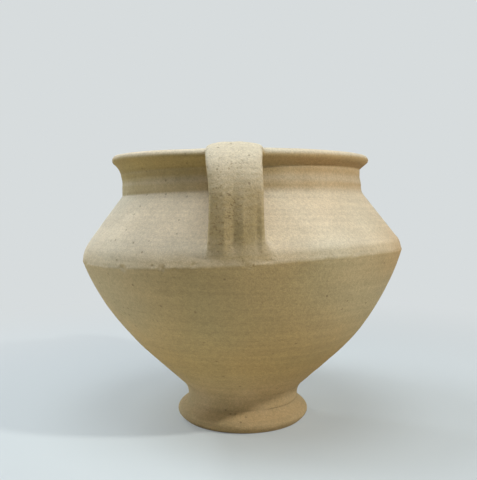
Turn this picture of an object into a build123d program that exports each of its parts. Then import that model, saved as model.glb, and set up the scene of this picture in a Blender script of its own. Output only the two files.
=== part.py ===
from build123d import *
import os
from math import asin, cos, degrees, radians, sin, sqrt, tan

# A footed, carinated jar with two strap handles, in unglazed buff clay.
# It is made of the sections that a potter throws apart and lutes together when they are leather hard:
# a ring foot, a bowl, a shoulder, a neck, a rim and two straps, with rolls of clay worked into the seams.
# Millimetres. +Z is up, the foot's centre on the floor is the origin, and the front handle points to -Y.
# A lean is how many degrees a section's right side, towards +X, stands higher than its left.

# Foot
FOOT_REST_RADIUS = 55.4
FOOT_EDGE_RADIUS = 60.4
FOOT_ROLL_HEIGHT = 13.0
FOOT_HOLLOW_BASE_RADIUS = 48.0
FOOT_HOLLOW_TOP_RADIUS = 36.0
FOOT_FLARE_SAG = 0.2

# Bowl, from the waist over the foot to the sharp edge of the carination. Its flare is in degrees off upright.
WAIST_RADIUS = 50.1
WAIST_HEIGHT = 17.7
WAIST_CURVE = 19.0
BOWL_FLARE = 46.7
BOWL_FLARE_LENGTH = 39.2
BOWL_HEIGHT = 129.4
BOWL_FLOOR = 11.0
BOWL_FLOOR_CURVE = 22.0
BOWL_LEAN = 0.7

# Shoulder, from the carination to the foot of the neck
CARINATION_RADIUS = 143.1
CARINATION_ROUND = 18.0
CARINATION_LIP = 2.0
SHOULDER_SLOPE = 37.5
SHOULDER_LEAN = 1.6
NECK_FILLET = 6.0

# Neck, as wide at its foot as under the rim and a little hollow between
NECK_HOLLOW = 1.4
NECK_HEIGHT = 15.2
NECK_LEAN = 1.2

# Rim
RIM_RADIUS = 115.5
RIM_OVERHANG = 7.4
RIM_HEIGHT = 13.3
RIM_NOSE = 3.8
RIM_UNDER_ANGLE = 45.0
RIM_UNDER_SAG = 1.0
RIM_CROWN = 0.8
RIM_INNER_ROUND = 4.0
RIM_LEAN = 0.3

# Walls: of the bowl and shoulder, and of the neck, which is a little thicker
WALL = 7.5
NECK_WALL = 8.0

# Strap handles, whose level and falling runs would meet at a corner past the rim, rounded by the bend
STRAP_WIDTH = 40.0
STRAP_THICKNESS = 10.0
STRAP_EDGE_DROP = 3.0
STRAP_RIDGE_SPACING = 13.5
STRAP_GROOVE_DEPTH = 1.2
STRAP_OUT = 40.3
STRAP_RISE = 2.5
STRAP_BEND = 30.0
STRAP_FOOT_INSET = 6.7
STRAP_FOOT_LIFT = 4.4
STRAP_HOLD = 8.0

# Clay worked round the ends of each strap
TOP_LUTE_SPREAD = 6.0
TOP_LUTE_BACK = 4.5
ROOT_LUTE_SPREAD = 5.0
ROOT_LUTE_FLARE = 1.5
ROOT_LUTE_FILL = 12.0
ROOT_LUTE_HEIGHT = 26.0
ROOT_LUTE_EDGE = 0.8

# Rolls of clay pressed into the seams from inside: their radius, and how deep they are pressed in
CARINATION_COIL = 7.0
NECK_COIL = 5.0
FOOT_COIL = 6.0
COIL_PRESS = 1.5

# Straight stretch of a wall just below a seam, and its spare length past the seam, where it is trimmed
SEAM_COLLAR = 2.5
TRIM = 6.0

# The neck follows the rim that it carries
NECK_RADIUS = RIM_RADIUS - RIM_OVERHANG


def seam_plane(centre, lean):
    """The plane of a seam, whose right side is raised by lean degrees."""
    turn = radians(lean)
    return Plane(origin=centre, x_dir=(cos(turn), 0, sin(turn)), z_dir=(-sin(turn), 0, cos(turn)))


def seam_above(plane, height, radius, widening, lean_from, lean_to):
    """The seam that trims a section at a height, centred on the ring that it cuts out of the wall."""
    on_axis = plane.from_local_coords(Vector(0, 0, height))
    seam = seam_plane(on_axis, lean_to)
    shift = radius * widening * tan(radians(lean_to - lean_from))
    return seam_plane(seam.from_local_coords(Vector(shift, 0, 0)), lean_to)


def turned(edges):
    """A solid turned about Z from the edges of its outline, given as (radius, height) in the XZ plane."""
    upright = Plane.XZ
    face = make_face([upright * edge for edge in edges])
    return revolve(face, Axis.Z)


def filled(outer):
    """The solid inside an outline, closed along the axis."""
    first, last = outer[0] @ 0, outer[-1] @ 1
    bottom = Line((0, first.Y), (first.X, first.Y))
    top = Line((last.X, last.Y), (0, last.Y))
    return turned([bottom, *outer, top, Line((0, last.Y), (0, first.Y))])


def below(solid, plane):
    return split(solid, bisect_by=plane, keep=Keep.BOTTOM)


def above(solid, plane):
    return split(solid, bisect_by=plane, keep=Keep.TOP)


class Section:
    """A thrown section: its outside with no hollow in it, the hollow, and the clay between the two."""

    def __init__(self, outside, hollow):
        self.outside = outside
        self.hollow = hollow
        self.shell = outside - hollow


def arc_about(centre, radius, start, end):
    """An arc from one angle to another about a centre, in degrees from the outward radius."""
    return CenterArc(centre, radius, start, end - start)


# Bowl: a hollow curve out of the waist, a straight flare, then one long swelling curve up to the carination
class Belly:
    """The bowl's outside from the top of its stem at height 0: its straight flare, and the curve above it."""

    rim_radius = CARINATION_RADIUS - CARINATION_ROUND + sqrt(CARINATION_ROUND**2 - CARINATION_LIP**2)
    along = (sin(radians(BOWL_FLARE)), cos(radians(BOWL_FLARE)))
    inward = (-along[1], along[0])
    hollow = (WAIST_RADIUS + WAIST_CURVE, 0.0)
    flare_start = (hollow[0] + WAIST_CURVE * inward[0], WAIST_CURVE * inward[1])
    flare_end = (flare_start[0] + BOWL_FLARE_LENGTH * along[0], flare_start[1] + BOWL_FLARE_LENGTH * along[1])
    rest = (rim_radius - flare_end[0], BOWL_HEIGHT - flare_end[1])
    curve = (rest[0] ** 2 + rest[1] ** 2) / (2 * (rest[0] * inward[0] + rest[1] * inward[1]))
    centre = (flare_end[0] + curve * inward[0], flare_end[1] + curve * inward[1])
    top = degrees(asin((BOWL_HEIGHT - centre[1]) / curve))
    past = degrees(asin((BOWL_HEIGHT + TRIM - centre[1]) / curve))
    widening = tan(radians(-top))

    @classmethod
    def inside_radius(cls, height):
        inner = cls.curve - WALL
        return cls.centre[0] + sqrt(inner**2 - (height - cls.centre[1]) ** 2)


waist = Plane(origin=(0, 0, WAIST_HEIGHT))
bowl_frame = seam_plane(waist.origin + Vector(0, 0, SEAM_COLLAR), BOWL_LEAN)
carination = seam_above(
    bowl_frame, BOWL_HEIGHT, Belly.rim_radius, Belly.widening, BOWL_LEAN, SHOULDER_LEAN
)


def bowl():
    stem = Line((WAIST_RADIUS, -SEAM_COLLAR - TRIM), (WAIST_RADIUS, 0))
    waist_arc = arc_about(Belly.hollow, WAIST_CURVE, 180, 180 - BOWL_FLARE)
    flare = Line(Belly.flare_start, Belly.flare_end)
    belly_arc = arc_about(Belly.centre, Belly.curve, -BOWL_FLARE, Belly.past)
    outside = filled([stem, waist_arc, flare, belly_arc])
    floor = BOWL_FLOOR - SEAM_COLLAR
    inner_belly = arc_about(Belly.centre, Belly.curve - WALL, -BOWL_FLARE, Belly.past)
    inner_end = inner_belly @ 0
    floor_radius = inner_end.X - (inner_end.Y - floor) * tan(radians(BOWL_FLARE))
    inside = filled([Line((floor_radius, floor), inner_end), inner_belly])
    floor_edge = inside.edges().filter_by(GeomType.CIRCLE).sort_by(Axis.Z)[0]
    inside = fillet(floor_edge, BOWL_FLOOR_CURVE)
    trimmed = above(below(bowl_frame.location * outside, carination), waist)
    return Section(trimmed, below(bowl_frame.location * inside, carination))


# Shoulder: rounded over the carination, a straight slope, then a hollow curve into the neck
class Slope:
    """The shoulder's outside, from its seam at height 0: where its two curves meet the straight slope."""

    round_centre = (CARINATION_RADIUS - CARINATION_ROUND, CARINATION_LIP)
    start = -degrees(asin(CARINATION_LIP / CARINATION_ROUND))
    leaves = (
        round_centre[0] + CARINATION_ROUND * cos(radians(SHOULDER_SLOPE)),
        round_centre[1] + CARINATION_ROUND * sin(radians(SHOULDER_SLOPE)),
    )
    meets_radius = NECK_RADIUS + NECK_FILLET * (1 - cos(radians(SHOULDER_SLOPE)))
    meets_height = leaves[1] + (leaves[0] - meets_radius) / tan(radians(SHOULDER_SLOPE))
    fillet_centre = (
        NECK_RADIUS + NECK_FILLET,
        meets_height + NECK_FILLET * sin(radians(SHOULDER_SLOPE)),
    )
    height = fillet_centre[1] + SEAM_COLLAR

    @classmethod
    def outline(cls, inset, start):
        """The outline set in by a wall, from an angle on the carination up to past the neck seam."""
        over = arc_about(cls.round_centre, CARINATION_ROUND - inset, start, SHOULDER_SLOPE)
        into = arc_about(cls.fillet_centre, NECK_FILLET + inset, 180 + SHOULDER_SLOPE, 180)
        collar = Line(into @ 1, (into @ 1) + Vector(0, SEAM_COLLAR + TRIM))
        return [over, Line(over @ 1, into @ 0), into, collar]


neck_seam = seam_above(carination, Slope.height, NECK_RADIUS, 0.0, SHOULDER_LEAN, NECK_LEAN)


def shoulder():
    inner_start = -degrees(asin(CARINATION_LIP / (CARINATION_ROUND - WALL)))
    outside = carination.location * filled(Slope.outline(0, Slope.start))
    hollow = carination.location * filled(Slope.outline(WALL, inner_start))
    return Section(below(outside, neck_seam), below(hollow, neck_seam))


rim_seam = seam_above(neck_seam, NECK_HEIGHT, NECK_RADIUS, 0.0, NECK_LEAN, RIM_LEAN)


def neck():
    def outline(inset):
        waist_height = (NECK_HEIGHT - SEAM_COLLAR) / 2
        hollow_curve = ThreePointArc(
            (NECK_RADIUS - inset, 0),
            (NECK_RADIUS - NECK_HOLLOW - inset, waist_height),
            (NECK_RADIUS - inset, 2 * waist_height),
        )
        return [hollow_curve, Line(hollow_curve @ 1, (hollow_curve @ 1) + Vector(0, SEAM_COLLAR + TRIM))]

    outside = neck_seam.location * filled(outline(0))
    hollow = neck_seam.location * filled(outline(NECK_WALL))
    return Section(below(outside, rim_seam), below(hollow, rim_seam))


def rim():
    nose_height = RIM_HEIGHT - RIM_CROWN - RIM_NOSE
    nose = (RIM_RADIUS - RIM_NOSE, nose_height)
    under_end = (
        nose[0] + RIM_NOSE * cos(radians(RIM_UNDER_ANGLE)),
        nose[1] - RIM_NOSE * sin(radians(RIM_UNDER_ANGLE)),
    )
    mouth_radius = NECK_RADIUS - NECK_WALL
    inner_height = RIM_HEIGHT - RIM_CROWN - RIM_INNER_ROUND
    inner_top = (mouth_radius + RIM_INNER_ROUND, RIM_HEIGHT - RIM_CROWN)
    crown_mid = ((inner_top[0] + nose[0]) / 2, RIM_HEIGHT)
    under = SagittaArc((NECK_RADIUS, 0), under_end, -RIM_UNDER_SAG)
    lip = arc_about(nose, RIM_NOSE, -RIM_UNDER_ANGLE, 90)
    crown = ThreePointArc(lip @ 1, crown_mid, inner_top)
    throat = Line((mouth_radius, 0), (mouth_radius, inner_height))
    inner = arc_about((inner_top[0], inner_height), RIM_INNER_ROUND, 180, 90)
    outside = rim_seam.location * filled([under, lip, crown])
    return Section(outside, rim_seam.location * filled([throat, inner]))


def foot():
    roll_top = (FOOT_REST_RADIUS, FOOT_ROLL_HEIGHT)
    roll = ThreePointArc((FOOT_REST_RADIUS, 0), (FOOT_EDGE_RADIUS, FOOT_ROLL_HEIGHT / 2), roll_top)
    flare = SagittaArc(roll_top, (WAIST_RADIUS, WAIST_HEIGHT), -FOOT_FLARE_SAG)
    outside = filled([roll, flare])
    hollow = filled([Line((FOOT_HOLLOW_BASE_RADIUS, 0), (FOOT_HOLLOW_TOP_RADIUS, WAIST_HEIGHT))])
    return Section(outside, hollow)


# Strap handles
rim_top = rim_seam.origin.Z + RIM_HEIGHT
strap_x = (rim_seam.origin.X + carination.origin.X) / 2
strap_corner = RIM_RADIUS + STRAP_OUT
strap_top = rim_top + STRAP_RISE - STRAP_THICKNESS / 2
strap_start = RIM_RADIUS - RIM_NOSE - STRAP_HOLD
strap_end = carination.origin.Z + STRAP_FOOT_LIFT
strap_foot_reach = CARINATION_RADIUS - STRAP_FOOT_INSET


def strap_section():
    """The strap's cross-section: flat within the loop, two ridges and a groove between them outside."""
    half, thick = STRAP_WIDTH / 2, STRAP_THICKNESS / 2
    ridge = STRAP_RIDGE_SPACING / 2
    edge = thick - STRAP_EDGE_DROP
    inner_half = half - thick
    back = Line((-inner_half, -thick), (inner_half, -thick))
    right = ThreePointArc((inner_half, -thick), (half, (edge - thick) / 2), (half - edge, edge))
    face = Spline(
        (half - edge, edge),
        (ridge, thick),
        (0, thick - STRAP_GROOVE_DEPTH),
        (-ridge, thick),
        (edge - half, edge),
    )
    left = ThreePointArc((edge - half, edge), (-half, (edge - thick) / 2), (-inner_half, -thick))
    return make_face([back, right, face, left])


def strap():
    """A strap along the front of the jar: out over the rim, round a wide bend and back in to the shoulder."""
    path = FilletPolyline(
        (strap_x, -strap_start, strap_top),
        (strap_x, -strap_corner, strap_top),
        (strap_x, -strap_foot_reach, strap_end),
        radius=STRAP_BEND,
    )
    start = Plane(origin=path @ 0, x_dir=(1, 0, 0), z_dir=path % 0)
    return sweep(start * strap_section(), path)


def frustum(low_box, high_box):
    """A solid between two level rectangles, each given as (half width, inner reach, outer reach, height)."""
    faces = []
    for half, inner, outer, height in (low_box, high_box):
        centre = Plane(origin=(strap_x, -(inner + outer) / 2, height))
        faces.append(centre * Rectangle(2 * half, outer - inner))
    return loft(faces)


def top_lute(strap_solid, rim_solid):
    """Clay smoothed up to the strap from the rim's top, behind it and on both sides, its face left bare."""
    half = STRAP_WIDTH / 2
    face = half - STRAP_THICKNESS / 2 + STRAP_EDGE_DROP
    outer = RIM_RADIUS - RIM_NOSE
    back = strap_start - TOP_LUTE_BACK
    base = strap_top
    top = rim_top + STRAP_RISE - STRAP_EDGE_DROP / 2
    wedge = frustum((half + TOP_LUTE_SPREAD, back, outer, base), (half, strap_start, outer, top))
    bare = frustum((face, strap_start, outer + TRIM, base), (face, strap_start, outer + TRIM, top + TRIM))
    return wedge - rim_solid - strap_solid - bare


def root_lute(strap_solid, shoulder_solid):
    """Clay thumbed round the strap's foot: down its face and sides, and into the angle inside the loop."""
    half, thick = STRAP_WIDTH / 2, STRAP_THICKNESS / 2
    rise = ROOT_LUTE_HEIGHT / (strap_top - strap_end)
    high_reach = strap_foot_reach + (strap_corner - strap_foot_reach) * rise
    low_box = (
        half + ROOT_LUTE_SPREAD,
        strap_foot_reach - thick - ROOT_LUTE_FILL,
        strap_foot_reach + thick + ROOT_LUTE_FLARE,
        strap_end,
    )
    high_box = (
        half + ROOT_LUTE_EDGE,
        high_reach - thick - ROOT_LUTE_EDGE,
        high_reach + thick + ROOT_LUTE_EDGE,
        strap_end + ROOT_LUTE_HEIGHT,
    )
    return frustum(low_box, high_box) - shoulder_solid - strap_solid


def coil(plane, radius, thickness, *hollows):
    """A roll of clay along a seam, pressed against the walls of the hollows on either side."""
    roll = Plane.XZ * Pos(radius + COIL_PRESS, 0) * Circle(thickness)
    ring = plane.location * revolve(roll, Axis.Z)
    pressed = ring & hollows[0]
    for hollow in hollows[1:]:
        pressed = pressed + (ring & hollow)
    return pressed


def save(parts):
    os.makedirs("parts", exist_ok=True)
    for name, solid in parts.items():
        export_step(solid, f"parts/{name}.step")


def handle(rim_outside, neck_outside, shoulder_outside):
    """The front handle's strap and the clay round its two ends, each cut to the walls that it sits on."""
    bar = strap()
    return {
        "handle": bar - rim_outside - neck_outside - shoulder_outside,
        "handle_top_lute": top_lute(bar, rim_outside),
        "handle_root_lute": root_lute(bar, shoulder_outside),
    }


def jar():
    sections = {"foot": foot(), "bowl": bowl(), "shoulder": shoulder(), "neck": neck(), "rim": rim()}
    hollow = {name: section.hollow for name, section in sections.items()}
    inside_carination = Belly.inside_radius(BOWL_HEIGHT)
    inside_neck = NECK_RADIUS - NECK_WALL
    parts = {name: section.shell for name, section in sections.items()}
    parts["foot_seam_coil"] = coil(waist, FOOT_HOLLOW_TOP_RADIUS, FOOT_COIL, hollow["foot"])
    parts["carination_seam_coil"] = coil(
        carination, inside_carination, CARINATION_COIL, hollow["bowl"], hollow["shoulder"]
    )
    parts["neck_seam_coil"] = coil(neck_seam, inside_neck, NECK_COIL, hollow["shoulder"], hollow["neck"])
    front = handle(sections["rim"].outside, sections["neck"].outside, sections["shoulder"].outside)
    for name, solid in front.items():
        parts[f"front_{name}"] = solid
        parts[f"back_{name}"] = mirror(solid, Plane.XZ)
    return parts


save(jar())
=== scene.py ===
import math

import bpy
import numpy as np
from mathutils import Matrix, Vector
from mathutils.bvhtree import BVHTree


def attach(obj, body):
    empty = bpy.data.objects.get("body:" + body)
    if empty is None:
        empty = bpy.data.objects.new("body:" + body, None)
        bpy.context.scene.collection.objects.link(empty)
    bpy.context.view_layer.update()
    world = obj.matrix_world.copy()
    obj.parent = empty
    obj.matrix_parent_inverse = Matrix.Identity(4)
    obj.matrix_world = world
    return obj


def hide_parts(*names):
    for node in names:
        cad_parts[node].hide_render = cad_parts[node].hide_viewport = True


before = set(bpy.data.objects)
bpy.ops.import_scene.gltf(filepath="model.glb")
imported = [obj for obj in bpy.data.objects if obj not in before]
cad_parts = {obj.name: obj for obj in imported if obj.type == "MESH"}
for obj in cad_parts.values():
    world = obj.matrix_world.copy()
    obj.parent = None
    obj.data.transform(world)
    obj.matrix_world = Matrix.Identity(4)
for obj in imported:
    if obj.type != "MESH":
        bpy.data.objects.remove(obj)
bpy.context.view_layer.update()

# A footed, carinated jar with two strap handles, in unglazed buff clay.
# Shapes are worked out in millimetres and become meshes in metres.
# The jar is a stack of rings round an axis that leans a little: its right side, towards +X, stands higher.
# Where a size has a swing, it is that much larger on the right and smaller on the left.
MM = 0.001
TAU = 2 * math.pi
TINY = 1e-9

# Foot
FOOT_REST_RADIUS = 55.2
FOOT_EDGE_RADIUS = 60.3
FOOT_ROLL_HEIGHT = 13.0
FOOT_FLARE_SAG = 0.8
FOOT_HOLLOW_BASE_RADIUS = 48.0
FOOT_HOLLOW_TOP_RADIUS = 36.0
FOOT_EDGE_ROUND = 2.0
# How many times the corner between its roll and its flare is smoothed over
FOOT_SMOOTHINGS = 3

# Bowl, whose flare is in degrees off upright
WAIST_RADIUS = 50.5
WAIST_HEIGHT = 17.7
WAIST_CURVE = 19.0
STEM_HEIGHT = 2.5
BOWL_FLARE = 46.7
BOWL_FLARE_LENGTH = 41.4
BOWL_HEIGHT = 130.2
BOWL_FLOOR = 11.0
BOWL_FLOOR_CURVE = 22.0

# Shoulder, which drops to the carination in a steeper edge: tilts are in degrees off upright
CARINATION_RADIUS = 143.0
EDGE_TILT = 10.5
EDGE_TILT_SWING = 3.5
EDGE_ROUND = 18.0
EDGE_ROUND_SWING = -4.0
SHOULDER_LIFT = 6.8
SHOULDER_SLOPE = 37.5
SHOULDER_INNER_ROUND = 18.0

# Neck and rim, whose lip is thin on the left and a fuller roll on the right
NECK_RADIUS = 107.7
NECK_FILLET = 6.5
NECK_FILLET_SWING = 4.5
NECK_HOLLOW = 0.7
NECK_HEIGHT = 12.9
RIM_RADIUS = 115.2
RIM_HEIGHT = 13.0
RIM_NOSE_HEIGHT = 8.0
RIM_NOSE_SIDE_LIFT = 1.6
RIM_NOSE_HEIGHT_SWING = -0.9
RIM_NOSE = 3.6
RIM_NOSE_SWING = 0.5
RIM_UNDER_ANGLE = 48.0
RIM_UNDER_SAG = 0.5
RIM_UNDER_SAG_SWING = -0.45
RIM_INNER_ROUND = 4.0
RIM_INNER_DROP = 1.0
# The rim has sagged where the handles hang on it, so its sides stand higher than its front and back
RIM_SADDLE = 1.0
# The carination wanders up and down twice in a turn: up at the front on the right, down on the left
CARINATION_WANDER = 2.4
# How deep its edge is chipped and rubbed, and how far that wear reaches up and down from it
EDGE_WEAR = 0.9
EDGE_WEAR_REACH = 2.2
# Unevenness at which a chip starts, and how much more makes it deepest
CHIP_START = 0.4
CHIP_LIMIT = 1.2
# Finger lines on the walls: their usual strength, and how much it differs from place to place
MARK_STRENGTH = 0.45
MARK_VARIATION = 0.6

WALL = 7.5
NECK_WALL = 8.0

# Heights from the waist up where the axis bends: sideways shift and lean in degrees
WAIST_LEAN = (0.0, 0.0)
BELLY_HEIGHT = 85.0
BELLY_LEAN = (1.0, 0.85)
CARINATION_LEAN = (-0.6, 1.7)
SHOULDER_HEIGHT = 166.0
SHOULDER_LEAN = (-0.75, 1.5)
NECK_LEAN = (-1.0, 1.2)
RIM_LEAN = (-2.3, 1.2)
LIP_LEAN = (-2.4, 0.3)

# Strap handles: points on the middle of the strap, as distance out from the axis and height
STRAP_START = (106.5, 227.5)
STRAP_PEAK = (118.5, 233.2)
STRAP_BULGE = (146.7, 199.0)
STRAP_FOOT = (137.1, 149.8)
STRAP_RISE_EASE = (4.5, 4.5)
STRAP_ROUND = 0.55
STRAP_FALL_EASE = 20.0
STRAP_FOOT_EASE = (2.0, 10.5)
# Its sideways place at the peak and from the bulge down
STRAP_PEAK_SHIFT = -2.4
STRAP_SHIFT = -0.2
STRAP_HALF_WIDTH = 18.7
STRAP_WAIST_HEIGHT = 200.0
STRAP_WIDENING = 0.0016
STRAP_HALF_THICKNESS = 5.0
STRAP_FACE_CURVE = 2.6
STRAP_BACK_CURVE = 4.0
# How far the end of the strap is cut on the slant of the shoulder
STRAP_SLANT = 0.8
STRAP_SLANT_HEIGHT = 185.0
# Ridges and grooves drawn along its face: place across the strap, half width and height
STRAP_RIDGES = (
    (-8.0, 4.2, 1.3),
    (-1.6, 2.6, -0.6),
    (4.8, 4.0, 1.3),
    (14.4, 2.4, -0.9),
    (17.8, 1.5, 0.5),
)
RIDGE_SHARPNESS = 1.4
# Heights between which they fade in above the root, and out towards the top with the share lost there
RIDGE_ROOT_FADE = (154.0, 168.0)
RIDGE_TOP_FADE = (174.0, 220.0)
RIDGE_TOP_LOSS = 0.9
# Shares of the half thickness between which they run out at the sides of the strap
RIDGE_SIDE_FADE = (0.2, 0.7)
# Unevenness of the strap: long swells, dents and grit, and how far apart the two straps' draws of it lie
STRAP_SWELL = 0.22
STRAP_DENT = 0.1
STRAP_GRIT = 0.04
STRAP_DRAW_SHIFT = 70.0
# Clay worked into the angle round the ends: radius of its hollow curve at the top and at the root
TOP_LUTE_CURVE = 4.0
ROOT_LUTE_CURVE = 6.5
# How much larger the root's is at its right edge, and smaller at its left
ROOT_LUTE_SWING = 3.0
# Height at which the strap passes into the clay of its root
ROOT_LUTE_HEIGHT = 168.0
# How deep the ends of a strap sit in the wall
STRAP_SEAT = 3.0
# Up to what gap a strap's face turns towards the wall, at the root and at the top, and how far it turns
ROOT_TURN_REACH = 13.0
TOP_TURN_REACH = 4.0
TURN_SHARE = 0.5
# Up to what gap its clay is smeared out and the face turns all the way
SMEAR_REACH = 1.2

# Rolls of clay pressed into the seams from inside: radius, how deep they sit and how far they are smeared
CARINATION_COIL = 6.0
NECK_COIL = 5.0
FOOT_COIL = 6.0
COIL_PRESS = 0.6
COIL_SMEAR = 1.15
# Thumb marks along them: their spacing, depth and how unevenly they follow each other
THUMB_PITCH = 17.0
THUMB_DEPTH = 0.5
THUMB_WANDER = 0.5
# They wander in two waves: how many of each there are in a turn, and the strength of the second
THUMB_WAVES = (3, 7)
THUMB_SECOND_WAVE = 0.6

# Fineness of the meshes
AROUND = 384
ROW_STEP = 1.2
FEWEST_ARC_ROWS = 5
FEWEST_LINE_ROWS = 4
STRAP_STEP = 0.6
STRAP_COLUMNS = 168
CURVE_POINTS = 120
SECTION_POINTS = 4001

theta = np.arange(AROUND) * TAU / AROUND
side = np.cos(theta)


# Outlines, as rows of radius and height that may differ from angle to angle
def arc(centre, radius, start, end):
    """Rows along an arc, in degrees from the outward radius."""
    turn = float(np.mean(np.abs(end - start)))
    rows = max(FEWEST_ARC_ROWS, round(float(np.mean(radius)) * math.radians(turn) / ROW_STEP))
    share = np.linspace(0, 1, rows)[:, None]
    angle = np.radians(start + (end - start) * share)
    ones = np.ones(AROUND)
    out = centre[0] + radius * np.cos(angle)
    up = centre[1] + radius * np.sin(angle)
    return out * ones, up * ones


def line(start, end):
    """Rows along a straight stretch between two (radius, height) points."""
    length = math.hypot(float(np.mean(end[0] - start[0])), float(np.mean(end[1] - start[1])))
    rows = max(FEWEST_LINE_ROWS, round(length / ROW_STEP))
    share = np.linspace(0, 1, rows)[:, None]
    ones = np.ones(AROUND)
    out = start[0] + (end[0] - start[0]) * share
    up = start[1] + (end[1] - start[1]) * share
    return out * ones, up * ones


def bowed(start, end, sag):
    """Rows along a shallow curve between two points, bowed by sag to the left of the way along."""
    radius, height = line(start, end)
    share = np.linspace(0, 1, len(radius))[:, None]
    along = (end[0] - start[0], end[1] - start[1])
    length = np.hypot(along[0], along[1])
    bow = 4 * sag * share * (1 - share)
    return radius - bow * along[1] / length, height + bow * along[0] / length


def joined(*stretches):
    """Stretches end to end as one run of rows, without the row that each shares with the one before."""
    radius = [stretches[0][0]] + [s[0][1:] for s in stretches[1:]]
    height = [stretches[0][1]] + [s[1][1:] for s in stretches[1:]]
    return np.concatenate(radius), np.concatenate(height)


def softened(rows, passes):
    """Rows with the corners between their stretches smoothed over, as wet clay is. The end rows stay."""
    for _ in range(passes):
        rows = [np.concatenate((r[:1], (r[:-2] + 2 * r[1:-1] + r[2:]) / 4, r[-1:])) for r in rows]
    return rows


def first(stretch):
    """Where a stretch starts, as (radius, height)."""
    return stretch[0][0], stretch[1][0]


def last(stretch):
    """Where a stretch ends, as (radius, height)."""
    return stretch[0][-1], stretch[1][-1]


# Heights of the seams on the axis
stem_top = WAIST_HEIGHT + STEM_HEIGHT
carination_height = stem_top + BOWL_HEIGHT
half_slope = math.tan(math.radians(SHOULDER_SLOPE / 2))
corner_height = carination_height + SHOULDER_LIFT
neck_corner = corner_height + (CARINATION_RADIUS - NECK_RADIUS) / math.tan(math.radians(SHOULDER_SLOPE))
neck_height = neck_corner + (NECK_FILLET + abs(NECK_FILLET_SWING)) * half_slope + STEM_HEIGHT
rim_height = neck_height + NECK_HEIGHT
rim_top = rim_height + RIM_HEIGHT
bend_heights = (
    WAIST_HEIGHT, BELLY_HEIGHT, carination_height, SHOULDER_HEIGHT, neck_height, rim_height, rim_top)
bend_leans = (WAIST_LEAN, BELLY_LEAN, CARINATION_LEAN, SHOULDER_LEAN, NECK_LEAN, RIM_LEAN, LIP_LEAN)


class Belly:
    """The bowl's outside: where its straight flare ends, and the centre and radius of the swell above."""

    along = (math.sin(math.radians(BOWL_FLARE)), math.cos(math.radians(BOWL_FLARE)))
    inward = (-along[1], along[0])
    hollow = (WAIST_RADIUS + WAIST_CURVE, stem_top)
    flare_end = (
        hollow[0] + WAIST_CURVE * inward[0] + BOWL_FLARE_LENGTH * along[0],
        hollow[1] + WAIST_CURVE * inward[1] + BOWL_FLARE_LENGTH * along[1],
    )
    rest = (CARINATION_RADIUS - flare_end[0], carination_height - flare_end[1])
    curve = (rest[0] ** 2 + rest[1] ** 2) / (2 * (rest[0] * inward[0] + rest[1] * inward[1]))
    centre = (flare_end[0] + curve * inward[0], flare_end[1] + curve * inward[1])

    @classmethod
    def top_angle(cls, inset):
        """Where the swell, moved in by an inset, meets the carination, in degrees."""
        return math.degrees(math.asin((carination_height - cls.centre[1]) / (cls.curve - inset)))


def foot_outside():
    """The foot's rolled edge and its flare up to the waist."""
    roll_top = (FOOT_REST_RADIUS, FOOT_ROLL_HEIGHT)
    roll = bowed((FOOT_REST_RADIUS, 0.0), roll_top, FOOT_REST_RADIUS - FOOT_EDGE_RADIUS)
    flare = bowed(roll_top, (WAIST_RADIUS, WAIST_HEIGHT), FOOT_FLARE_SAG)
    return softened(joined(roll, flare), FOOT_SMOOTHINGS)


def bowl_outside():
    """The short stem, the hollow curve of the waist, the straight flare and the swell above it."""
    stem = line((WAIST_RADIUS, WAIST_HEIGHT), (WAIST_RADIUS, stem_top))
    waist = arc(Belly.hollow, WAIST_CURVE, 180, 180 - BOWL_FLARE)
    swell = arc(Belly.centre, Belly.curve, -BOWL_FLARE, Belly.top_angle(0))
    return joined(stem, waist, line(last(waist), first(swell)), swell)


def shoulder_outside(start):
    """The steep edge above the carination, rounded into the slope, and the hollow curve into the neck."""
    tilt = EDGE_TILT + EDGE_TILT_SWING * side
    upright = np.radians(tilt)
    lean_in = np.tan(upright)
    slope = math.tan(math.radians(SHOULDER_SLOPE))
    rounding = EDGE_ROUND + EDGE_ROUND_SWING * side
    half_turn = np.radians(SHOULDER_SLOPE - tilt) / 2
    edge_height = SHOULDER_LIFT * slope / (slope - lean_in)
    edge_height = edge_height - rounding * np.tan(half_turn) * np.cos(upright)
    edge_top = (CARINATION_RADIUS - edge_height * lean_in, carination_height + edge_height)
    round_centre = (edge_top[0] - rounding * np.cos(upright), edge_top[1] - rounding * np.sin(upright))
    edge = line(start, edge_top)
    over = arc(round_centre, rounding, tilt, SHOULDER_SLOPE)
    fillet = NECK_FILLET + NECK_FILLET_SWING * side
    fillet_centre = (NECK_RADIUS + fillet, neck_corner + fillet * half_slope)
    into = arc(fillet_centre, fillet, 180 + SHOULDER_SLOPE, 180)
    collar = line(last(into), (NECK_RADIUS, neck_height))
    return joined(edge, over, line(last(over), first(into)), into, collar)


def neck_outside():
    """The upright collar, a little hollow in profile."""
    radius, height = line((NECK_RADIUS, neck_height), (NECK_RADIUS, rim_height))
    share = np.linspace(0, 1, len(radius))[:, None]
    return radius - NECK_HOLLOW * np.sin(math.pi * share) ** 2, height


def rim_outside():
    """The rim's sloping underside, its rolled lip and its crown."""
    nose = RIM_NOSE + RIM_NOSE_SWING * side
    nose_height = rim_height + RIM_NOSE_HEIGHT + RIM_NOSE_HEIGHT_SWING * side
    nose_height = nose_height + RIM_NOSE_SIDE_LIFT * side**2
    lip = arc((RIM_RADIUS - nose, nose_height), nose, -RIM_UNDER_ANGLE, 90)
    under = bowed((NECK_RADIUS, rim_height), first(lip), RIM_UNDER_SAG + RIM_UNDER_SAG_SWING * side)
    inner_edge = (NECK_RADIUS - NECK_WALL + RIM_INNER_ROUND, rim_top - RIM_INNER_DROP)
    crown = bowed(last(lip), inner_edge, -RIM_INNER_DROP)
    return joined(under, lip, crown)


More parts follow.
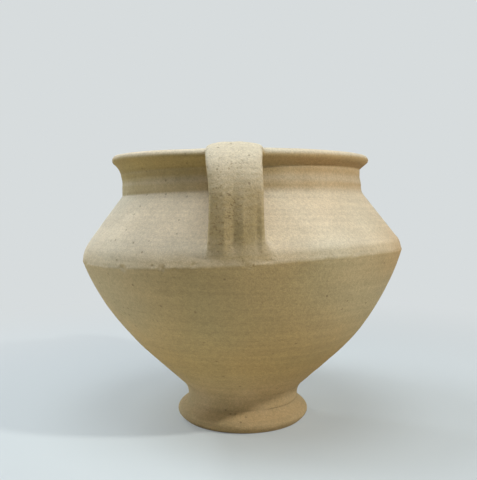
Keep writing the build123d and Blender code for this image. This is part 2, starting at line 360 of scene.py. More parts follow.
def outside_rows():
    """The outside of each section, from the foot's edge up over the rim to its inner edge."""
    bowl = bowl_outside()
    return {
        "foot": foot_outside(),
        "bowl": bowl,
        "shoulder": shoulder_outside(last(bowl)),
        "neck": neck_outside(),
        "rim": rim_outside(),
    }


def inside_radius_at_carination():
    """How far out the bowl's inside is where it meets the shoulder's."""
    rise = carination_height - Belly.centre[1]
    return Belly.centre[0] + math.sqrt((Belly.curve - WALL) ** 2 - rise**2)


def inside_rows():
    """The inside of each section, from the rim's inner edge down to the middle of the floor."""
    mouth = NECK_RADIUS - NECK_WALL
    round_height = rim_top - RIM_INNER_DROP - RIM_INNER_ROUND
    inner = arc((mouth + RIM_INNER_ROUND, round_height), RIM_INNER_ROUND, 90, 180)
    rim = joined(inner, line((mouth, round_height), (mouth, rim_height)))
    neck = bowed((mouth, rim_height), (mouth, neck_height), -NECK_HOLLOW)
    fillet_height = neck_corner + NECK_FILLET * half_slope
    into = arc((NECK_RADIUS + NECK_FILLET, fillet_height), NECK_FILLET + WALL, 180, 180 + SHOULDER_SLOPE)
    step = line((mouth, neck_height), first(into))
    round_centre = (
        CARINATION_RADIUS - SHOULDER_INNER_ROUND, corner_height - SHOULDER_INNER_ROUND * half_slope)
    over = arc(round_centre, SHOULDER_INNER_ROUND - WALL, SHOULDER_SLOPE, 0)
    edge = line(last(over), (inside_radius_at_carination(), carination_height))
    shoulder = joined(step, into, line(last(into), first(over)), over, edge)
    floor = WAIST_HEIGHT + BOWL_FLOOR
    wall = arc(Belly.centre, Belly.curve - WALL, Belly.top_angle(WALL), -BOWL_FLARE)
    flare_foot = floor + BOWL_FLOOR_CURVE * (1 - Belly.inward[1])
    drop = (Belly.flare_end[1] + WALL * Belly.inward[1] - flare_foot) / Belly.along[1]
    floor_centre = (
        Belly.flare_end[0] + (WALL + BOWL_FLOOR_CURVE) * Belly.inward[0] - drop * Belly.along[0],
        floor + BOWL_FLOOR_CURVE,
    )
    curve = arc(floor_centre, BOWL_FLOOR_CURVE, -BOWL_FLARE, -90)
    bowl = joined(wall, line(last(wall), first(curve)), curve, line(last(curve), (ROW_STEP, floor)))
    return {"rim": rim, "neck": neck, "shoulder": shoulder, "bowl": bowl}


def eased(value, low, high):
    """A smooth step from 0 at low to 1 at high."""
    share = np.clip((value - low) / (high - low), 0, 1)
    return share * share * (3 - 2 * share)


def place(radius, height):
    """Points in the jar's frame for rows of (radius, height) about the leaning axis."""
    shift = np.interp(height, bend_heights, [s for s, lean in bend_leans])
    lean = np.radians(np.interp(height, bend_heights, [lean for s, lean in bend_leans]))
    across = radius * side
    lift = RIM_SADDLE * eased(height, neck_height, rim_top) * side**2
    wander_heights = (BELLY_HEIGHT, carination_height, SHOULDER_HEIGHT)
    wander = np.interp(height, wander_heights, (0, CARINATION_WANDER, 0))
    lift = lift - wander * np.sin(2 * theta)
    x = shift + across * np.cos(lean)
    return np.stack((x, radius * np.sin(theta), height + lift + across * np.sin(lean)), axis=-1)


# Unevenness of hand-made surfaces
def make_waves(seed, shortest, longest, count=28):
    """Random plane waves, whose sum is a smooth unevenness of about one unit."""
    rng = np.random.default_rng(seed)
    way = rng.normal(size=(count, 3))
    way /= np.linalg.norm(way, axis=1, keepdims=True)
    length = rng.uniform(shortest, longest, count)
    return way * (TAU / length)[:, None], rng.uniform(0, TAU, count)


def unevenness(points, waves):
    """The sum of the waves at each point."""
    ways, phase = waves
    return np.sin(points @ ways.T + phase).sum(axis=-1) / math.sqrt(len(phase))


# Each has a seed of its own, and the lengths of its waves are in millimetres
swells = make_waves(11, 60, 170)
dents = make_waves(12, 9, 26)
fading = make_waves(13, 25, 90)
grit = make_waves(14, 2.5, 6)
chips = make_waves(15, 5, 14)


def throwing_marks(points, pitch):
    """Finger lines that climb round the wall by one pitch a turn, strong in places and faint in others."""
    turn = np.arctan2(points[..., 1], points[..., 0]) / TAU
    strength = np.clip(MARK_STRENGTH + MARK_VARIATION * unevenness(points, fading), 0, 1)
    return strength * np.sin(TAU * (points[..., 2] / pitch + turn))


def unit(vectors):
    """Vectors of the same ways and of length 1."""
    return vectors / np.maximum(np.linalg.norm(vectors, axis=-1, keepdims=True), TINY)


def normals_of(points):
    """Normals of rows of points, out of the clay."""
    along = np.gradient(points, axis=0)
    round_about = np.roll(points, -1, axis=1) - np.roll(points, 1, axis=1)
    return unit(np.cross(round_about, along))


def clay_skin(sections, swell, dent, mark, pitch, wear=0.0):
    """Rows of points and normals for each section, with the clay's unevenness running on over the seams."""
    whole = joined(*sections.values())
    points = place(*whole)
    normal = normals_of(points)
    above_rest = np.clip(points[..., 2] / FOOT_ROLL_HEIGHT, 0, 1)
    lift = swell * unevenness(points, swells) + dent * unevenness(points, dents)
    lift = lift + mark * throwing_marks(points, pitch)
    at_edge = np.exp(-((whole[1] - carination_height) / EDGE_WEAR_REACH) ** 2)
    lift = lift - wear * at_edge * np.clip(unevenness(points, chips) - CHIP_START, 0, CHIP_LIMIT)
    points = points + normal * (lift * above_rest)[..., None]
    normal = normals_of(points)
    skins, start = {}, 0
    for name, (radius, height) in sections.items():
        end = start + len(radius)
        skins[name] = (points[start:end], normal[start:end])
        start = end - 1
    return skins


# Meshes
def grid_quads(rows, columns, closed):
    """Corners of the four-sided faces between rows of points that each close on themselves."""
    row = np.arange(rows if closed else rows - 1)
    column = np.arange(columns)
    low = (row * columns)[:, None]
    high = ((row + 1) % rows * columns)[:, None]
    following = (column + 1) % columns
    quads = np.stack((low + column, low + following, high + following, high + column), axis=-1)
    return quads.reshape(-1, 4).tolist()


def grid_mesh(name, skins, closed=True, poles=()):
    """A closed mesh from rows of points, either joined end to end or closed by a point at each end."""
    points = np.concatenate([s[0] for s in skins])
    normal = np.concatenate([s[1] for s in skins])
    rows, columns = points.shape[:2]
    vertices = points.reshape(-1, 3)
    normals = normal.reshape(-1, 3)
    faces = grid_quads(rows, columns, closed)
    for pole, ring, outward in poles:
        tip = len(vertices)
        vertices = np.vstack((vertices, pole))
        normals = np.vstack((normals, outward))
        start = ring % rows * columns
        for j in range(columns):
            pair = (start + j, start + (j + 1) % columns)
            faces.append((*pair, tip) if ring == -1 else (*reversed(pair), tip))
    mesh = bpy.data.meshes.new(name)
    mesh.from_pydata((vertices * MM).tolist(), [], faces)
    mesh.shade_smooth()
    mesh.normals_split_custom_set_from_vertices(normals.tolist())
    mesh.update()
    return mesh


def add_piece(name, mesh, material, slot, *nodes):
    """A piece of the jar, which takes the place of the nodes that are named."""
    piece = bpy.data.objects.new(name, mesh)
    bpy.context.scene.collection.objects.link(piece)
    mesh.materials.append(material)
    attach(piece, "root")
    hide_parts(*nodes)


def plain_skin(rows):
    """Rows of points and normals without any unevenness."""
    points = place(*rows)
    return points, normals_of(points)


def centre_of(skin, row):
    """The middle of one row of points."""
    return skin[0][row].mean(axis=0)


def thrown_sections(material):
    """The five thrown sections, each a closed wall cut from the jar's outside and inside."""
    outside = clay_skin(outside_rows(), swell=0.25, dent=0.05, mark=0.035, pitch=4.3, wear=EDGE_WEAR)
    inside = clay_skin(inside_rows(), swell=0.2, dent=0.12, mark=0.3, pitch=8.5)
    for name in ("shoulder", "neck", "rim"):
        wall = grid_mesh(name, [outside[name], inside[name]])
        add_piece(f"{name}_wall", wall, material, "buff_clay", name)
    hollow_top = (FOOT_HOLLOW_TOP_RADIUS, WAIST_HEIGHT)
    hollow_base = (FOOT_HOLLOW_BASE_RADIUS, FOOT_EDGE_ROUND)
    rest_inner = FOOT_HOLLOW_BASE_RADIUS + FOOT_EDGE_ROUND
    seat = line((WAIST_RADIUS, WAIST_HEIGHT), hollow_top)
    edge = bowed(hollow_base, (rest_inner, 0.0), FOOT_EDGE_ROUND / 4)
    rest = line((rest_inner, 0.0), (FOOT_REST_RADIUS, 0.0))
    under = plain_skin(joined(seat, line(hollow_top, hollow_base), edge, rest))
    add_piece("foot_ring", grid_mesh("foot", [outside["foot"], under]), material, "buff_clay", "foot")
    base = plain_skin(line((ROW_STEP, WAIST_HEIGHT), (WAIST_RADIUS, WAIST_HEIGHT)))
    floor = inside["bowl"]
    poles = ((centre_of(base, 0), 0, (0, 0, -1)), (centre_of(floor, -1), -1, (0, 0, 1)))
    bowl = grid_mesh("bowl", [base, outside["bowl"], floor], closed=False, poles=poles)
    add_piece("bowl_wall", bowl, material, "buff_clay", "bowl")
    return outside


# Rolls of clay inside the seams
def seam_rolls(material):
    """A smeared roll inside each seam, dented by the thumb that pressed it in."""
    mouth = NECK_RADIUS - NECK_WALL
    slow, quick = THUMB_WAVES
    rolls = {
        "foot": (FOOT_HOLLOW_TOP_RADIUS, WAIST_HEIGHT, FOOT_COIL),
        "carination": (inside_radius_at_carination(), carination_height, CARINATION_COIL),
        "neck": (mouth, neck_height, NECK_COIL),
    }
    for name, (radius, height, thickness) in rolls.items():
        presses = round(TAU * radius / THUMB_PITCH)
        wander = np.sin(slow * theta + radius) + THUMB_SECOND_WAVE * np.sin(quick * theta + height)
        thumbed = np.abs(np.sin(presses * theta / 2 + THUMB_WANDER * wander))
        roll = thickness - THUMB_DEPTH * (1 - thumbed)
        centre_radius = radius + COIL_PRESS
        across, up = arc((0.0, 0.0), roll, 0, 360)
        rows = (centre_radius + across[:-1], height + COIL_SMEAR * up[:-1])
        mesh = grid_mesh(f"{name}_roll", [plain_skin(rows)])
        add_piece(f"{name}_roll", mesh, material, "luting_clay", f"{name}_seam_coil")


# Strap handles
def bezier(a, b, c, d):
    """Points along a curve from a to d that leaves towards b and comes in from c."""
    share = np.linspace(0, 1, CURVE_POINTS)[:, None]
    rest = 1 - share
    points = [np.array(p, dtype=float) for p in (a, b, c, d)]
    return (rest**3 * points[0] + 3 * rest**2 * share * points[1]
            + 3 * rest * share**2 * points[2] + share**3 * points[3])


def strap_line():
    """Evenly spaced points on the middle of the strap, as (out, up), and the ways along it and out of it."""
    over_out = STRAP_ROUND * (STRAP_BULGE[0] - STRAP_PEAK[0])
    over_up = STRAP_ROUND * (STRAP_PEAK[1] - STRAP_BULGE[1])
    rise = bezier(
        STRAP_START,
        (STRAP_START[0] + STRAP_RISE_EASE[0], STRAP_START[1] + STRAP_RISE_EASE[1]),
        (STRAP_PEAK[0] - STRAP_RISE_EASE[0], STRAP_PEAK[1]),
        STRAP_PEAK,
    )
    over = bezier(
        STRAP_PEAK,
        (STRAP_PEAK[0] + over_out, STRAP_PEAK[1]),
        (STRAP_BULGE[0], STRAP_BULGE[1] + over_up),
        STRAP_BULGE,
    )
    fall = bezier(
        STRAP_BULGE,
        (STRAP_BULGE[0], STRAP_BULGE[1] - STRAP_FALL_EASE),
        (STRAP_FOOT[0] + STRAP_FOOT_EASE[0], STRAP_FOOT[1] + STRAP_FOOT_EASE[1]),
        STRAP_FOOT,
    )
    path = np.concatenate((rise, over[1:], fall[1:]))
    run = np.concatenate(([0], np.cumsum(np.linalg.norm(np.diff(path, axis=0), axis=1))))
    even = np.linspace(0, run[-1], round(run[-1] / STRAP_STEP))
    path = np.stack([np.interp(even, run, path[:, i]) for i in (0, 1)], axis=-1)
    along = unit(np.gradient(path, axis=0))
    outward = np.stack((-along[:, 1], along[:, 0]), axis=-1)
    return path, along, outward


def strap_section():
    """The strap's section as shares of its half width and half thickness, evenly spaced round it."""
    turn = np.linspace(0, TAU, SECTION_POINTS)
    curve = np.where(np.sin(turn) >= 0, STRAP_FACE_CURVE, STRAP_BACK_CURVE)
    across = np.sign(np.cos(turn)) * np.abs(np.cos(turn)) ** (2 / curve)
    out = np.sign(np.sin(turn)) * np.abs(np.sin(turn)) ** (2 / curve)
    steps = np.hypot(np.diff(across) * STRAP_HALF_WIDTH, np.diff(out) * STRAP_HALF_THICKNESS)
    run = np.concatenate(([0], np.cumsum(steps)))
    even = np.linspace(0, run[-1], STRAP_COLUMNS, endpoint=False)
    return np.interp(even, run, across), np.interp(even, run, out)


def strap_relief(across, height):
    """Ridges and grooves on the face, clearest low down and smoothed away towards the ends."""
    relief = 0.0
    for spot, wide, rise in STRAP_RIDGES:
        relief = relief + rise * np.exp(-np.abs((across - spot) / wide) ** RIDGE_SHARPNESS)
    upper = 1 - RIDGE_TOP_LOSS * eased(height, *RIDGE_TOP_FADE)
    lower = eased(height, *RIDGE_ROOT_FADE)
    return relief * upper * lower


def wall_tree(outside):
    """The jar's outside, to measure how far a point is from it."""
    points = np.concatenate([skin[0] for skin in outside.values()])
    rows, columns = points.shape[:2]
    return BVHTree.FromPolygons(points.reshape(-1, 3).tolist(), grid_quads(rows, columns, closed=False))


def off_wall(tree, point):
    """How far a point stands off the wall, less than 0 inside it, and the way out of the wall there."""
    spot, normal, face, distance = tree.find_nearest(Vector(point))
    way = np.array(normal)
    gap = np.array(point) - np.array(spot)
    return math.copysign(distance, float(gap @ way)), way


def luted(tree, points, normals, curve):
    """Points spread along the wall near it, which leaves a hollow curve of clay in the angle."""
    flat = points.reshape(-1, 3).copy()
    out = normals.reshape(-1, 3)
    radius = curve.reshape(-1)
    for i, point in enumerate(flat):
        gap, way = off_wall(tree, point)
        if gap >= radius[i]:
            continue
        near = radius[i] - max(gap, 0.0)
        push = radius[i] - math.sqrt(radius[i] ** 2 - near**2)
        moved = point + (out[i] - way * float(out[i] @ way)) * push
        height, way = off_wall(tree, moved)
        flat[i] = moved + way * (max(gap, -STRAP_SEAT) - height)
    return flat.reshape(points.shape)


def smoothed_over(tree, points, reach):
    """Normals of a strap, which turn towards the wall's near it, and into them where its clay is smeared."""
    normals = normals_of(points)
    for i, row in enumerate(points):
        for j, point in enumerate(row):
            gap, way = off_wall(tree, point)
            near = float(np.clip(1 - gap / reach[i], 0, 1))
            smeared = float(np.clip(1 - gap / SMEAR_REACH, 0, 1))
            share = TURN_SHARE * near + (1 - TURN_SHARE) * smeared
            normals[i, j] = normals[i, j] * (1 - share) + way * share
    return unit(normals)


def strap_skin(tree, turned, seed):
    """Rows of points and normals down one strap, with its ends spread over the rim and the shoulder."""
    path, along, outward = strap_line()
    across, out = strap_section()
    height = path[:, 1:]
    half_width = STRAP_HALF_WIDTH + STRAP_WIDENING * (height - STRAP_WAIST_HEIGHT) ** 2
    shift = STRAP_SHIFT + (STRAP_PEAK_SHIFT - STRAP_SHIFT) * eased(height, STRAP_BULGE[1], STRAP_PEAK[1])
    falling = path[:, :1] > STRAP_PEAK[0]
    slant = STRAP_SLANT * (1 - eased(height, STRAP_FOOT[1], STRAP_SLANT_HEIGHT)) * falling
    u = half_width * across
    v = STRAP_HALF_THICKNESS * out
    raised = v + strap_relief(u, height) * eased(out, *RIDGE_SIDE_FADE) * falling
    reach = path[:, :1] + raised * outward[:, :1] + slant * v * along[:, :1]
    up = height + raised * outward[:, 1:] + slant * v * along[:, 1:]
    points = np.stack((shift + u, -reach, up), axis=-1)
    if turned:
        points = points * (-1, -1, 1)
    normal = normals_of(points)
    shifted = points + STRAP_DRAW_SHIFT * seed
    lift = STRAP_SWELL * unevenness(shifted, swells) + STRAP_DENT * unevenness(shifted, dents)
    lift = lift + STRAP_GRIT * unevenness(shifted, grit)
    points = points + normal * lift[..., None]
    at_top = path[:, :1] < RIM_RADIUS + 2 * TOP_LUTE_CURVE
    lowered = height < STRAP_BULGE[1]
    root_curve = ROOT_LUTE_CURVE + ROOT_LUTE_SWING * across
    curve = np.where(lowered, root_curve, np.where(at_top, TOP_LUTE_CURVE, TOP_LUTE_CURVE / 2))
    points = luted(tree, points, normal, curve)
    reach = np.where(lowered, ROOT_TURN_REACH, TOP_TURN_REACH)[:, 0]
    return path, points, smoothed_over(tree, points, reach)


def strap_pieces(tree, name, turned, seed, clay, lute):
    """One handle: the strap, and the clay worked round its top and its root."""
    path, points, normal = strap_skin(tree, turned, seed)
    out, up = path[:, 0], path[:, 1]
    top_end = int(np.argmax(out > RIM_RADIUS))
    root_start = int(np.argmax((up < ROOT_LUTE_HEIGHT) & (out > STRAP_PEAK[0])))
    stretches = {
        "handle_top_clay": (0, top_end + 1, lute, "luting_clay", f"{name}_handle_top_lute"),
        "handle_strap": (top_end, root_start + 1, clay, "buff_clay", f"{name}_handle"),
        "handle_root_clay": (root_start, len(path), lute, "luting_clay", f"{name}_handle_root_lute"),
    }
    for piece, (start, end, material, slot, node) in stretches.items():
        skin = (points[start:end], normal[start:end])
        way = unit(centre_of(skin, -1) - centre_of(skin, 0))
        poles = ((centre_of(skin, 0), 0, -way), (centre_of(skin, -1), -1, way))
        mesh = grid_mesh(f"{name}_{piece}", [skin], closed=False, poles=poles)
        add_piece(f"{name}_{piece}", mesh, material, slot, node)


# Materials: the clay's colour low down, round the belly and at the neck, with painted light on the belly's
# sides, painted shade on the neck's left, and painted light with dust on what faces up
FOOT_SHADE = (0.49, 0.35, 0.142, 1)
BELLY_SHADE = (0.455, 0.355, 0.175, 1)
# Paler sides of the belly: painted light
BELLY_SIDE_PAINTED_LIGHT = (0.53, 0.425, 0.24, 1)
# Darker left of the neck: painted shade
NECK_LEFT_PAINTED_SHADE = (0.4, 0.3, 0.118, 1)
NECK_RIGHT_SHADE = (0.52, 0.37, 0.18, 1)
# Paler colour for what faces up: painted light on upper faces, together with dust
LIT_PALE = (0.705, 0.635, 0.48, 1)
# Heights, in metres, over which the foot's shade turns into the belly's, and that into the neck's
BELLY_RISE = (0.03, 0.13)
NECK_RISE = (0.17, 0.205)
# Distances to the side, in metres, over which the belly turns paler with painted light towards its sides,
# and the neck passes from painted shade on its left to its right colour
BELLY_LIT_SIDES = (0.03, 0.1)
NECK_SHADED_SIDES = (-0.04, 0.06)
# Painted light and dust on what faces up, which is paler: heights over which it sets in, how patchy it is,
# and where it is full
LIT_DUST_RISE = (0.02, 0.11)
LIT_DUST_PATCHES = 0.2
LIT_DUST_SPAN = (-0.3, 0.84)
# Clouds of cooler and warmer clay
CLOUD_SPAN = (0.3, 0.7)
COOL_TINT = (0.96, 0.985, 0.99, 1)
WARM_TINT = (1.03, 0.985, 0.94, 1)
# A blush on the right of the carination: its tint, where it sets in, and heights where it comes and goes
BLUSH_TINT = (0.98, 0.88, 0.78, 1)
BLUSH_ACROSS = (0.075, 0.135)
BLUSH_BAND = ((0.12, 0.15), (0.2, 0.165))
# Painted shade under the lip on the right: as for the blush, and how far down a face looks that has it
LIP_SHADOW_TINT = (0.8, 0.75, 0.7, 1)
LIP_SHADOW_ACROSS = (0.0, 0.05)
LIP_SHADOW_BAND = ((0.221, 0.224), (0.231, 0.227))
LIP_SHADOW_FACING = (-0.1, -0.5)
# Noises, as their scale and detail, and the share by which each lightens and darkens the clay
CLOUD = (11, 2)
PATCH = (42, 4)
SAND = (380, 2)
GRAIN = (950, 3)
LINES = (1, 3)
LINE_STRETCH = (7, 7, 420)
MOTTLE_SPAN = (0.25, 0.75)
PATCH_SPREAD = 0.045
LINE_SPREAD = 0.05
SAND_SPREAD = 0.065
GRAIN_SPREAD = 0.11
# Pits: how closely they may lie, how rare they are on the left and the right, their edge, shade and strength
PIT_SCALE = 230
PIT_ACROSS = (-0.04, 0.03)
PIT_RARITY = (0.9, 0.985)
PIT_EDGE = (0.3, 0.12)
PIT_SHADE = (0.2, 0.14, 0.075, 1)
PIT_STRENGTH = 0.45
# Sandy specks, drawn out sideways: few on what faces up, and gathered in patches
SPECKS = (560, 1)
SPECK_STRETCH = (0.8, 0.8, 1.3)
SPECK_EDGE = (0.58, 0.72)
SPECK_FACING = (0.95, 0.45)
SPECK_PATCHES = (0.3, 0.6)
SPECK_TINT = (0.55, 0.47, 0.38, 1)
# Surface: strength and depth in metres of the fine relief, and the gloss
RELIEF_STRENGTH = 0.6
RELIEF_DEPTH = 0.0005
ROUGHNESS_PATCHES = (0.2, 0.8)
ROUGHNESS = (0.86, 0.96)
CLAY_GLOSS = 0.25


class Shader:
    """Nodes of one material, added and joined as they are asked for."""

    def __init__(self, name):
        self.material = bpy.data.materials.new(name)
        self.material.use_nodes = True
        self.tree = self.material.node_tree
        self.surface = self.tree.nodes["Principled BSDF"]
        self.coordinates = self.tree.nodes.new("ShaderNodeTexCoord")

    def join(self, value, socket):
        if isinstance(value, bpy.types.NodeSocket):
            self.tree.links.new(value, socket)
        else:
            socket.default_value = value

    def math(self, operation, a, b=0.0):
        node = self.tree.nodes.new("ShaderNodeMath")
        node.operation = operation
        self.join(a, node.inputs[0])
        self.join(b, node.inputs[1])
        return node.outputs[0]

    def noise(self, scale, detail, stretch=(1, 1, 1)):
        mapping = self.tree.nodes.new("ShaderNodeMapping")
        mapping.inputs["Scale"].default_value = stretch
        self.tree.links.new(self.coordinates.outputs["Object"], mapping.inputs["Vector"])
        node = self.tree.nodes.new("ShaderNodeTexNoise")
        node.inputs["Scale"].default_value = scale
        node.inputs["Detail"].default_value = detail
        self.tree.links.new(mapping.outputs["Vector"], node.inputs["Vector"])
        return node.outputs["Fac"]

    def cells(self, scale):
        node = self.tree.nodes.new("ShaderNodeTexVoronoi")
        node.inputs["Scale"].default_value = scale
        self.tree.links.new(self.coordinates.outputs["Object"], node.inputs["Vector"])
        chance = self.tree.nodes.new("ShaderNodeSeparateColor")
        self.tree.links.new(node.outputs["Color"], chance.inputs["Color"])
        return node.outputs["Distance"], chance.outputs["Red"]

    def eased(self, value, low, high, start=0.0, end=1.0):
        node = self.tree.nodes.new("ShaderNodeMapRange")
        node.interpolation_type = "SMOOTHSTEP"
        self.join(value, node.inputs["Value"])
        for socket, number in zip(("From Min", "From Max", "To Min", "To Max"), (low, high, start, end)):
            node.inputs[socket].default_value = number
        return node.outputs["Result"]

    def part(self, output, axis):
        node = self.tree.nodes.new("ShaderNodeSeparateXYZ")
        self.tree.links.new(self.coordinates.outputs[output], node.inputs["Vector"])
        return node.outputs[axis]

    def mix(self, share, a, b, blend="MIX"):
        node = self.tree.nodes.new("ShaderNodeMix")
        node.data_type = "RGBA"
        node.blend_type = blend
        # Inputs 6 and 7 and output 2 are the ones for colours
        self.join(share, node.inputs[0])
        self.join(a, node.inputs[6])
        self.join(b, node.inputs[7])
        return node.outputs[2]


def colour_with_painted_sides(shader, height, sideways):
    """The clay's colour, which changes from the foot to the belly and neck, with painted light on the
    belly's sides and painted shade on the neck's left.
    """
    aside = shader.eased(shader.math("ABSOLUTE", sideways), *BELLY_LIT_SIDES)
    belly = shader.mix(aside, BELLY_SHADE, BELLY_SIDE_PAINTED_LIGHT)
    neck = shader.mix(shader.eased(sideways, *NECK_SHADED_SIDES), NECK_LEFT_PAINTED_SHADE, NECK_RIGHT_SHADE)
    shade = shader.mix(shader.eased(height, *BELLY_RISE), FOOT_SHADE, belly)
    return shader.mix(shader.eased(height, *NECK_RISE), shade, neck)


def lit_and_dusted(shader, colour, height, patch):
    """A colour that is paler on what faces up: painted light on upper faces, together with dust."""
    upward = shader.math("MULTIPLY", shader.part("Normal", "Z"), shader.eased(height, *LIT_DUST_RISE))
    lit_dust = shader.math("ADD", upward, shader.math("MULTIPLY", patch, LIT_DUST_PATCHES))
    return shader.mix(shader.eased(lit_dust, *LIT_DUST_SPAN), colour, LIT_PALE)


def tinted(shader, share, colour, tint):
    """A colour that is multiplied by a tint, by a share."""
    return shader.mix(share, colour, shader.mix(1.0, colour, tint, "MULTIPLY"))


def banded(shader, height, band):
    """1 within a band of heights, which eases in at its foot and out at its top."""
    rise, fall = band
    return shader.math("MULTIPLY", shader.eased(height, *rise), shader.eased(height, *fall))


def pit_marks(shader, sideways, pitted):
    """1 in small round pits, of which there are more on the left."""
    distance, chance = shader.cells(PIT_SCALE)
    left, right = PIT_RARITY
    rarity = shader.eased(sideways, *PIT_ACROSS, left - pitted, right - pitted)
    chosen = shader.math("GREATER_THAN", chance, rarity)
    return shader.math("MULTIPLY", shader.eased(distance, *PIT_EDGE), chosen)


def speck_marks(shader, patch, speckled):
    """Up to the share speckled in dark, sandy specks."""
    specks = shader.eased(shader.noise(*SPECKS, stretch=SPECK_STRETCH), *SPECK_EDGE)
    facing = shader.eased(shader.part("Normal", "Z"), *SPECK_FACING)
    bare = shader.math("MULTIPLY", facing, shader.eased(patch, *SPECK_PATCHES))
    return shader.math("MULTIPLY", shader.math("MULTIPLY", specks, bare), speckled)


def clay_material(name, pitted, speckled):
    """Fired clay: paler on what faces up with painted light and dust, with painted light on the belly's
    sides and painted shade on the neck's left and under the lip, mottled, with faint turning lines, sandy
    grain, pits and specks.
    """
    shader = Shader(name)
    patch = shader.noise(*PATCH)
    grain = shader.noise(*GRAIN)
    sand = shader.noise(*SAND)
    lines = shader.noise(*LINES, stretch=LINE_STRETCH)
    height = shader.part("Object", "Z")
    sideways = shader.part("Object", "X")
    # What faces up is made paler: painted light, together with dust
    colour = lit_and_dusted(shader, colour_with_painted_sides(shader, height, sideways), height, patch)
    warmth = shader.eased(shader.noise(*CLOUD), *CLOUD_SPAN)
    colour = shader.mix(1.0, colour, shader.mix(warmth, COOL_TINT, WARM_TINT), "MULTIPLY")
    on_right = shader.eased(sideways, *BLUSH_ACROSS)
    blush = shader.math("MULTIPLY", on_right, banded(shader, height, BLUSH_BAND))
    colour = tinted(shader, blush, colour, BLUSH_TINT)
    # Painted shade under the lip on the right, on faces that look down
    facing_down = shader.eased(shader.part("Normal", "Z"), *LIP_SHADOW_FACING)
    below_lip = shader.math("MULTIPLY", banded(shader, height, LIP_SHADOW_BAND), facing_down)
    lip_shadow = shader.math("MULTIPLY", below_lip, shader.eased(sideways, *LIP_SHADOW_ACROSS))
    colour = tinted(shader, lip_shadow, colour, LIP_SHADOW_TINT)
    mottles = ((patch, PATCH_SPREAD), (lines, LINE_SPREAD), (sand, SAND_SPREAD), (grain, GRAIN_SPREAD))
    for value, spread in mottles:
        mottling = shader.eased(value, *MOTTLE_SPAN, 1 - spread, 1 + spread)
        colour = shader.mix(1.0, colour, mottling, "MULTIPLY")
    pits = pit_marks(shader, sideways, pitted)
    colour = shader.mix(shader.math("MULTIPLY", pits, PIT_STRENGTH), colour, PIT_SHADE)
    specks = speck_marks(shader, patch, speckled)
    colour = tinted(shader, specks, colour, SPECK_TINT)
    hollows = shader.math("MAXIMUM", pits, specks)
    relief = shader.math("SUBTRACT", shader.math("ADD", grain, sand), hollows)
    bump = shader.tree.nodes.new("ShaderNodeBump")
    bump.inputs["Strength"].default_value = RELIEF_STRENGTH
    bump.inputs["Distance"].default_value = RELIEF_DEPTH
    shader.join(relief, bump.inputs["Height"])
    shader.join(colour, shader.surface.inputs["Base Color"])
    shader.join(bump.outputs["Normal"], shader.surface.inputs["Normal"])
    roughness = shader.eased(patch, *ROUGHNESS_PATCHES, *ROUGHNESS)
    shader.join(roughness, shader.surface.inputs["Roughness"])
    shader.surface.inputs["Specular IOR Level"].default_value = CLAY_GLOSS
    return shader.material


def build():
    """The whole jar, in three finishes of clay."""
    clay = clay_material("buff_clay", pitted=0.0, speckled=0.12)
    coarse = clay_material("coarse_clay", pitted=0.12, speckled=0.6)
    lute = clay_material("luting_clay", pitted=0.06, speckled=0.4)
    outside = thrown_sections(clay)
    seam_rolls(lute)
    tree = wall_tree(outside)
    strap_pieces(tree, "front", False, 1, coarse, lute)
    strap_pieces(tree, "back", True, 2, coarse, lute)


build()

# Camera: its place in millimetres, and its turns in degrees
CAMERA_DISTANCE = 555.2
CAMERA_HEIGHT = 188.1
CAMERA_AROUND = 1.7
CAMERA_PITCH = 2.74
CAMERA_YAW = 0.41
CAMERA_LENS = 45.0


def add_camera():
    """The camera, in front of the jar and level with its shoulder."""
    camera = bpy.data.objects.new("camera", bpy.data.cameras.new("camera"))
    bpy.context.scene.collection.objects.link(camera)
    around = math.radians(CAMERA_AROUND)
    camera.location = Vector((
        CAMERA_DISTANCE * math.sin(around), -CAMERA_DISTANCE * math.cos(around), CAMERA_HEIGHT)) * MM
    camera.rotation_euler = (
        math.radians(90 - CAMERA_PITCH), 0, math.radians(CAMERA_AROUND + CAMERA_YAW))
    camera.data.lens = CAMERA_LENS
    bpy.context.scene.camera = camera


# Light, and a pale floor that runs out into a plain background
LIGHT_AIM = Vector((0, 0, 0.12))
LIGHT_DISTANCE = 1.5
# Lamps: degrees round from the front and up from level, size in metres, power in watts, and colour
LAMPS = {
    "key": (56, 40.5, 0.1, 10.8, (1, 0.955, 0.9)),
    "overhead": (10, 76, 0.9, 8.2, (0.99, 1, 1.02)),
    "left": (-84, 60, 0.7, 7.6, (0.95, 1, 1.08)),
    "low_left": (-102, 20, 0.8, 5.6, (0.95, 1, 1.08)),
    "back_left": (-142, 24, 0.2, 4.0, (0.97, 1, 1.04)),
}
AMBIENT_COLOUR = (1.0, 1.0, 1.0, 1)
AMBIENT_STRENGTH = 0.04
BACKGROUND = (0.68, 0.715, 0.725, 1)
FLOOR_COLOUR = (0.74, 0.74, 0.69, 1)
FLOOR_SEEN_COLOUR = (0.62, 0.7, 0.72, 1)
FLOOR_ROUGHNESS = 0.9
FLOOR_GLOSS = 0.1
FLOOR_RADIUS = 4.0
FLOOR_SIDES = 96
# Share of the background's colour that the floor has near the jar, and distances over which it grows to all
FLOOR_GLOW = 0.28
FLOOR_FADE = (0.06, 0.75)


def add_light(name, azimuth, elevation, size, power, colour):
    """A round lamp that is aimed at the jar."""
    lamp = bpy.data.lights.new(name, "AREA")
    lamp.shape = "DISK"
    lamp.size = size
    lamp.energy = power
    lamp.color = colour
    light = bpy.data.objects.new(name, lamp)
    bpy.context.scene.collection.objects.link(light)
    around = math.radians(azimuth)
    up = math.radians(elevation)
    way = Vector((math.sin(around) * math.cos(up), -math.cos(around) * math.cos(up), math.sin(up)))
    light.location = LIGHT_AIM + way * LIGHT_DISTANCE
    light.rotation_euler = (-way).to_track_quat("-Z", "Y").to_euler()


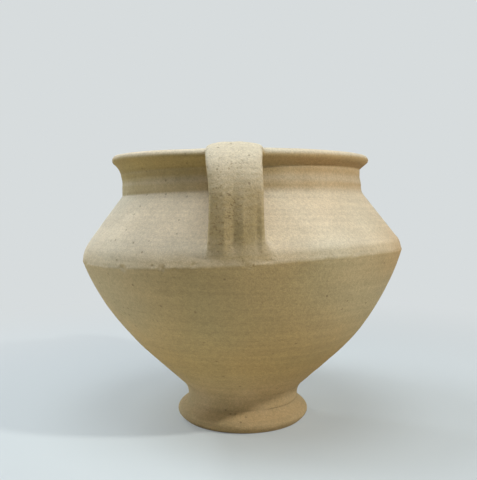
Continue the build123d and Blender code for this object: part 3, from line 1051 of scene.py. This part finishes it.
def seen_directly(tree):
    """1 for what the camera sees straight, reflected or through glass, and 0 for light that only bounces."""
    path = tree.nodes.new("ShaderNodeLightPath")
    total = path.outputs["Is Camera Ray"]
    for name in ("Is Glossy Ray", "Is Transmission Ray"):
        node = tree.nodes.new("ShaderNodeMath")
        node.operation = "MAXIMUM"
        tree.links.new(total, node.inputs[0])
        tree.links.new(path.outputs[name], node.inputs[1])
        total = node.outputs[0]
    return total


def add_world():
    """A faint even light, and the background's colour for what is seen of it."""
    world = bpy.data.worlds.new("world")
    bpy.context.scene.world = world
    world.use_nodes = True
    tree = world.node_tree
    ambient = tree.nodes["Background"]
    ambient.inputs["Color"].default_value = AMBIENT_COLOUR
    ambient.inputs["Strength"].default_value = AMBIENT_STRENGTH
    backdrop = tree.nodes.new("ShaderNodeBackground")
    backdrop.inputs["Color"].default_value = BACKGROUND
    mix = tree.nodes.new("ShaderNodeMixShader")
    tree.links.new(seen_directly(tree), mix.inputs[0])
    tree.links.new(ambient.outputs[0], mix.inputs[1])
    tree.links.new(backdrop.outputs[0], mix.inputs[2])
    tree.links.new(mix.outputs[0], tree.nodes["World Output"].inputs["Surface"])


def add_floor():
    """A round floor that keeps the jar's shadow and runs out into the background's colour."""
    angles = np.linspace(0, TAU, FLOOR_SIDES + 1)[:-1]
    ring = [(FLOOR_RADIUS * math.cos(a), FLOOR_RADIUS * math.sin(a), 0) for a in angles]
    mesh = bpy.data.meshes.new("floor")
    mesh.from_pydata(ring, [], [list(range(len(ring)))])
    floor = bpy.data.objects.new("floor", mesh)
    bpy.context.scene.collection.objects.link(floor)
    shader = Shader("floor")
    tree = shader.tree
    seen = seen_directly(tree)
    shader.join(shader.mix(seen, FLOOR_COLOUR, FLOOR_SEEN_COLOUR), shader.surface.inputs["Base Color"])
    shader.surface.inputs["Roughness"].default_value = FLOOR_ROUGHNESS
    shader.surface.inputs["Specular IOR Level"].default_value = FLOOR_GLOSS
    length = tree.nodes.new("ShaderNodeVectorMath")
    length.operation = "LENGTH"
    tree.links.new(shader.coordinates.outputs["Object"], length.inputs[0])
    far = shader.eased(length.outputs["Value"], *FLOOR_FADE, FLOOR_GLOW, 1.0)
    glow = tree.nodes.new("ShaderNodeEmission")
    glow.inputs["Color"].default_value = BACKGROUND
    mix = tree.nodes.new("ShaderNodeMixShader")
    tree.links.new(shader.math("MULTIPLY", far, seen), mix.inputs[0])
    tree.links.new(shader.surface.outputs[0], mix.inputs[1])
    tree.links.new(glow.outputs[0], mix.inputs[2])
    tree.links.new(mix.outputs[0], tree.nodes["Material Output"].inputs["Surface"])
    mesh.materials.append(shader.material)


add_camera()
for name, lamp in LAMPS.items():
    add_light(name, *lamp)
add_world()
add_floor()

bpy.context.scene.view_settings.view_transform = "Standard"
